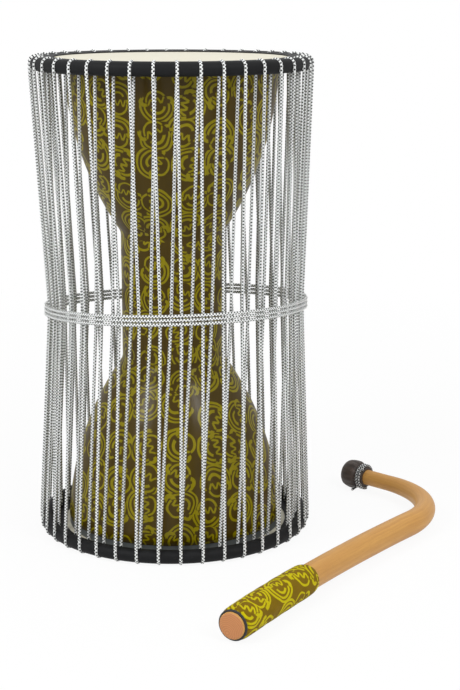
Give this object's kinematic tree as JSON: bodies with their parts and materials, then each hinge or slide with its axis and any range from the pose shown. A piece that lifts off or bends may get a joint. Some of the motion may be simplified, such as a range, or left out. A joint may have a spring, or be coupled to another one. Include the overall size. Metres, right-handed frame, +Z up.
{
  "type": "talking drum",
  "caption": "Hourglass drum with a head at each end, laced together by cords that tighten the heads when squeezed at the waist, with a hooked beater beside it.",
  "frame": {"origin": "on the drum's axis, in the plane that it stands on", "axes": "+Z up along the drum's axis; -Y is the front; +X is the right side seen from the front, where the beater lies"},
  "size_m": [0.3631, 0.4098, 0.424],
  "materials": {
    "fibreglass": "bare moulded fibreglass, satin",
    "printed_cloth": "printed cotton under clear lacquer, glossy",
    "head_film": "cream matt drumhead film",
    "hoop_steel": "plain steel, inside the cover",
    "hoop_cover": "black covering, satin",
    "braided_cord": "black and white braided cord",
    "wood": "clear-finished light hardwood",
    "grip_cloth": "printed cotton, matt",
    "black_band": "black edging, matt",
    "tip_pad": "soft rubber, inside the cap",
    "cap_leather": "dark brown leather",
    "tie_cord": "black and white braided cord"
  },
  "bodies": {
    "drum": {"shell": "fibreglass", "shell_cloth": "printed_cloth", "top_head": "head_film", "bottom_head": "head_film", "top_hoop_core": "hoop_steel", "bottom_hoop_core": "hoop_steel", "top_hoop_cover": "hoop_cover", "bottom_hoop_cover": "hoop_cover", "top_lacing_loops": "braided_cord", "bottom_lacing_loops": "braided_cord", "front_strands": "braided_cord", "back_strands": "braided_cord", "waist_belt": "braided_cord", "waist_belt_knot": "braided_cord"},
    "lower_left_strands_1": {"lower_left_strands_1": "braided_cord"},
    "lower_left_strands_2": {"lower_left_strands_2": "braided_cord"},
    "lower_left_strands_3": {"lower_left_strands_3": "braided_cord"},
    "lower_left_strands_4": {"lower_left_strands_4": "braided_cord"},
    "lower_right_strands_1": {"lower_right_strands_1": "braided_cord"},
    "lower_right_strands_2": {"lower_right_strands_2": "braided_cord"},
    "lower_right_strands_3": {"lower_right_strands_3": "braided_cord"},
    "lower_right_strands_4": {"lower_right_strands_4": "braided_cord"},
    "upper_left_strands_1": {"upper_left_strands_1": "braided_cord"},
    "upper_left_strands_2": {"upper_left_strands_2": "braided_cord"},
    "upper_left_strands_3": {"upper_left_strands_3": "braided_cord"},
    "upper_left_strands_4": {"upper_left_strands_4": "braided_cord"},
    "upper_right_strands_1": {"upper_right_strands_1": "braided_cord"},
    "upper_right_strands_2": {"upper_right_strands_2": "braided_cord"},
    "upper_right_strands_3": {"upper_right_strands_3": "braided_cord"},
    "upper_right_strands_4": {"upper_right_strands_4": "braided_cord"},
    "beater": {"beater_stick": "wood", "beater_grip_cloth": "grip_cloth", "beater_grip_band": "black_band", "beater_tip_pad": "tip_pad", "beater_tip_cap": "cap_leather", "beater_tip_tie": "tie_cord"}
  },
  "joints": [
    {"name": "squeeze", "type": "hinge", "parent": "drum", "child": "upper_left_strands_1", "pos_m": [-0.10793, 0, 0.4096], "axis": [0, -1, 0], "range_deg": [0, 6.8], "stiffness_Nm_per_rad": 8, "deforming": ["waist_belt"]},
    {"name": "lower_left_squeeze_1", "type": "hinge", "parent": "drum", "child": "lower_left_strands_1", "pos_m": [-0.10774, 0, 0.0139], "axis": [0, 1, 0], "range_deg": [0, 7.59]},
    {"name": "lower_left_squeeze_2", "type": "hinge", "parent": "drum", "child": "lower_left_strands_2", "pos_m": [-0.08408, 0, 0.0139], "axis": [0, 1, 0], "range_deg": [0, 6.79]},
    {"name": "lower_left_squeeze_3", "type": "hinge", "parent": "drum", "child": "lower_left_strands_3", "pos_m": [-0.05761, 0, 0.0139], "axis": [0, 1, 0], "range_deg": [0, 5.17]},
    {"name": "lower_left_squeeze_4", "type": "hinge", "parent": "drum", "child": "lower_left_strands_4", "pos_m": [-0.02551, 0, 0.0139], "axis": [0, 1, 0], "range_deg": [0, 3.18]},
    {"name": "lower_right_squeeze_1", "type": "hinge", "parent": "drum", "child": "lower_right_strands_1", "pos_m": [0.10774, 0, 0.0139], "axis": [0, -1, 0], "range_deg": [0, 7.42]},
    {"name": "lower_right_squeeze_2", "type": "hinge", "parent": "drum", "child": "lower_right_strands_2", "pos_m": [0.08408, 0, 0.0139], "axis": [0, -1, 0], "range_deg": [0, 6.66]},
    {"name": "lower_right_squeeze_3", "type": "hinge", "parent": "drum", "child": "lower_right_strands_3", "pos_m": [0.05761, 0, 0.0139], "axis": [0, -1, 0], "range_deg": [0, 5.09]},
    {"name": "lower_right_squeeze_4", "type": "hinge", "parent": "drum", "child": "lower_right_strands_4", "pos_m": [0.02551, 0, 0.0139], "axis": [0, -1, 0], "range_deg": [0, 3.15]},
    {"name": "upper_left_squeeze_2", "type": "hinge", "parent": "drum", "child": "upper_left_strands_2", "pos_m": [-0.08458, 0, 0.4096], "axis": [0, -1, 0], "range_deg": [0, 6.11]},
    {"name": "upper_left_squeeze_3", "type": "hinge", "parent": "drum", "child": "upper_left_strands_3", "pos_m": [-0.05828, 0, 0.4096], "axis": [0, -1, 0], "range_deg": [0, 4.67]},
    {"name": "upper_left_squeeze_4", "type": "hinge", "parent": "drum", "child": "upper_left_strands_4", "pos_m": [-0.02627, 0, 0.4096], "axis": [0, -1, 0], "range_deg": [0, 2.89]},
    {"name": "upper_right_squeeze_1", "type": "hinge", "parent": "drum", "child": "upper_right_strands_1", "pos_m": [0.10793, 0, 0.4096], "axis": [0, 1, 0], "range_deg": [0, 6.95]},
    {"name": "upper_right_squeeze_2", "type": "hinge", "parent": "drum", "child": "upper_right_strands_2", "pos_m": [0.08458, 0, 0.4096], "axis": [0, 1, 0], "range_deg": [0, 6.22]},
    {"name": "upper_right_squeeze_3", "type": "hinge", "parent": "drum", "child": "upper_right_strands_3", "pos_m": [0.05828, 0, 0.4096], "axis": [0, 1, 0], "range_deg": [0, 4.74]},
    {"name": "upper_right_squeeze_4", "type": "hinge", "parent": "drum", "child": "upper_right_strands_4", "pos_m": [0.02627, 0, 0.4096], "axis": [0, 1, 0], "range_deg": [0, 2.91]},
    {"name": "beater_lift", "type": "slide", "parent": "drum", "child": "beater", "axis": [0, 0, 1], "range_m": [0, 0.15]}
  ],
  "couplings": [
    {"joint": "lower_left_squeeze_1", "follows": "squeeze", "ratio": 1.1154},
    {"joint": "lower_left_squeeze_2", "follows": "squeeze", "ratio": 0.9982},
    {"joint": "lower_left_squeeze_3", "follows": "squeeze", "ratio": 0.7597},
    {"joint": "lower_left_squeeze_4", "follows": "squeeze", "ratio": 0.4668},
    {"joint": "lower_right_squeeze_1", "follows": "squeeze", "ratio": 1.0904},
    {"joint": "lower_right_squeeze_2", "follows": "squeeze", "ratio": 0.9782},
    {"joint": "lower_right_squeeze_3", "follows": "squeeze", "ratio": 0.748},
    {"joint": "lower_right_squeeze_4", "follows": "squeeze", "ratio": 0.4623},
    {"joint": "upper_left_squeeze_2", "follows": "squeeze", "ratio": 0.8971},
    {"joint": "upper_left_squeeze_3", "follows": "squeeze", "ratio": 0.686},
    {"joint": "upper_left_squeeze_4", "follows": "squeeze", "ratio": 0.4239},
    {"joint": "upper_right_squeeze_1", "follows": "squeeze", "ratio": 1.021},
    {"joint": "upper_right_squeeze_2", "follows": "squeeze", "ratio": 0.9139},
    {"joint": "upper_right_squeeze_3", "follows": "squeeze", "ratio": 0.6958},
    {"joint": "upper_right_squeeze_4", "follows": "squeeze", "ratio": 0.4277}
  ]
}
